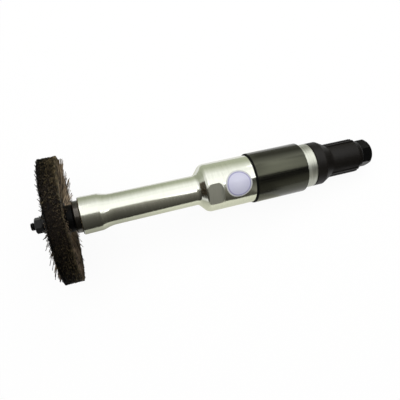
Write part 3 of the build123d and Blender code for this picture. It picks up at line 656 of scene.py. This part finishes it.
# Retaining ring, cross pin and valve spring: hardened spring steel, left plain.
# The spring is held between the valve and the inlet bushing. On the real tool it shortens as the valve is
# drawn back; here it rides with the housing at one length.
# Spring steel: a satin mid grey, with marks from drawing that are drawn larger than they are
spring_steel, tree, shader = new_finish("spring_steel", Metallic=1.0)
marks = grained(tree, shader, size_mm=0.4, roughness=(0.25, 0.4), depth_mm=0.003)
toned(tree, shader, marks, "#8E8E90", "#B2B2B3")
dress(spring_steel, "spindle_bearing_clip", "throttle_pin")
spring = copy_of("valve_spring", "valve_spring_coil")
bpy.ops.object.shade_smooth_by_angle(angle=math.radians(70))
spring.data.materials.clear()
spring.data.materials.append(spring_steel)
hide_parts("valve_spring")
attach(spring, "housing")
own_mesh(spring)

# Vane motor: end plates and a cylinder of cast iron, ground flat and bored off centre.
# The blades are cloth laminate, cut to fit the rotor's slots.
# Ground cast iron: a dull dark grey with pores, drawn larger than they are
iron, tree, shader = new_finish("ground_cast_iron", Metallic=0.9)
pores = grained(tree, shader, size_mm=0.35, roughness=(0.35, 0.55), depth_mm=0.008, detail=5.0)
toned(tree, shader, pores, "#6F6E6B", "#979592")
dress(iron, "front_end_plate", "rear_end_plate", "motor_cylinder")
# Cloth laminate: brown resin, in which the cloth's weave shows
laminate, tree, shader = new_finish("cloth_laminate")
weave = grained(tree, shader, size_mm=0.6, stretch=(0.4, 1, 1), roughness=(0.45, 0.65), depth_mm=0.01)
toned(tree, shader, weave, "#5A3A1E", "#8A5E33")
dress(laminate, "rotor_blades")

# Motor housing and backhead: aluminium, turned on the lathe. The housing is a tube under the sleeve,
# screwed on the nose. The backhead closes it, and its collar shows between the sleeve and the throttle grip.
# Turned aluminium: pale and matte, with the tool's lines round it, drawn wider than they are
turned_aluminium, tree, shader = new_finish("turned_aluminium", Metallic=1.0)
tool_lines = grained(
    tree, shader, size_mm=0.8, stretch=(1, 0.04, 0.04), roughness=(0.38, 0.52), depth_mm=0.008,
)
toned(tree, shader, tool_lines, "#A2A499", "#C8CABF")
dress(turned_aluminium, "backhead", "motor_housing")

# Grip sleeve: a smooth black plastic tube, pushed over the motor housing. Its front edge is rounded, and a
# band there is made of dull plastic as painted shade, which shows as a dark line against the polished body.
# A copy of the solid is parted there.
# Drawn plastic: it shines, and faint streaks run lengthwise along it
sleeve_plastic, tree, shader = new_finish("drawn_black_plastic", IOR=1.65, Specular_Tint=paint("#EDF0D0"))
streaks = grained(tree, shader, size_mm=0.9, stretch=(0.02, 1, 1), roughness=(0.16, 0.26), depth_mm=0.005)
toned(tree, shader, streaks, "#060606", "#0D0C0B")
# Plastic of the lip: painted shade, dull so that it hardly shines and shows as a dark line
lip_shade_plastic, tree, shader = new_finish("dull_lip_shade_plastic", Specular_IOR_Level=0.06)
lip_grain = grained(tree, shader, size_mm=0.4, stretch=(1, 0.2, 0.2), roughness=(0.5, 0.7), depth_mm=0.01)
toned(tree, shader, lip_grain, "#040404", "#0A0A09")
lip_end = 142.0
sleeve = copy_of("grip_sleeve", "lipped_grip_sleeve")
bpy.ops.object.mode_set(mode="EDIT")
bpy.ops.mesh.select_all(action="SELECT")
bpy.ops.mesh.bisect(plane_co=nose_point + axis_dir * lip_end * mm, plane_no=axis_dir)
bpy.ops.object.mode_set(mode="OBJECT")
bpy.ops.object.shade_smooth_by_angle(angle=math.radians(30))
straight = sleeve.modifiers.new("straight", "WEIGHTED_NORMAL")
straight.keep_sharp = True
bpy.ops.object.modifier_apply(modifier="straight")
sleeve.data.materials.clear()
sleeve.data.materials.append(sleeve_plastic)
sleeve.data.materials.append(lip_shade_plastic)
for face in sleeve.data.polygons:
    face.material_index = int((face.center - nose_point).dot(axis_dir) < lip_end * mm)
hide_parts("grip_sleeve")
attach(sleeve, "housing")

# Throttle grip: moulded plastic, flared in front and ribbed on two sides.
# It turns on the backhead's stem and is rolled by hand.
# Moulded plastic: black with a matte texture, drawn coarser than it is, and dulled by hands
grip_plastic, tree, shader = new_finish("moulded_black_plastic", Specular_IOR_Level=0.2)
texture = grained(tree, shader, size_mm=0.5, roughness=(0.42, 0.56), depth_mm=0.03, detail=4.0)
toned(tree, shader, texture, "#0B0907", "#14110D")
dress(grip_plastic, "throttle_grip")

# Washer behind the grip: a flat ring of acetal, turned from bar.
# It lies between the grip and the inlet bushing, so that the grip rolls easily.
# Acetal: an even black with a soft shine
acetal, tree, shader = new_finish("black_acetal")
swirl = grained(tree, shader, size_mm=0.8, roughness=(0.35, 0.5), depth_mm=0.004)
toned(tree, shader, swirl, "#1E1E1E", "#2A2A2A")
dress(acetal, "grip_washer")

# Throttle valve and inlet screen: turned brass. The valve slides in the backhead, and the screen sits in
# the inlet bushing. The valve's face and its rings are moulded rubber.
# Turned brass: warm yellow, with the tool's lines round it, drawn wider than they are
brass, tree, shader = new_finish("turned_brass", Metallic=1.0)
turning = grained(tree, shader, size_mm=0.3, stretch=(1, 0.06, 0.06), roughness=(0.2, 0.34), depth_mm=0.004)
toned(tree, shader, turning, "#B8944E", "#D9B970")
dress(brass, "throttle_valve", "inlet_screen")
# Seal rubber: dull black with a faint bloom
rubber, tree, shader = new_finish("seal_rubber")
bloom = grained(tree, shader, size_mm=0.7, roughness=(0.6, 0.8), depth_mm=0.006)
toned(tree, shader, bloom, "#171717", "#242424")
dress(rubber, "valve_seal", "valve_o_rings")

# Inlet bushing: a steel hexagon with the dull black of the nut, screwed into the backhead.
# Its quarter inch pipe thread is cut in a copy of the solid.
inlet = copy_of("inlet_bushing", "threaded_inlet_bushing")
cut_thread(inlet, pitch=1.337, tip_r=6.58, base_r=5.6, first=243.2, last=257.7)
inlet.data.materials.clear()
inlet.data.materials.append(dull_oxide)
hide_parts("inlet_bushing")
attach(inlet, "housing")
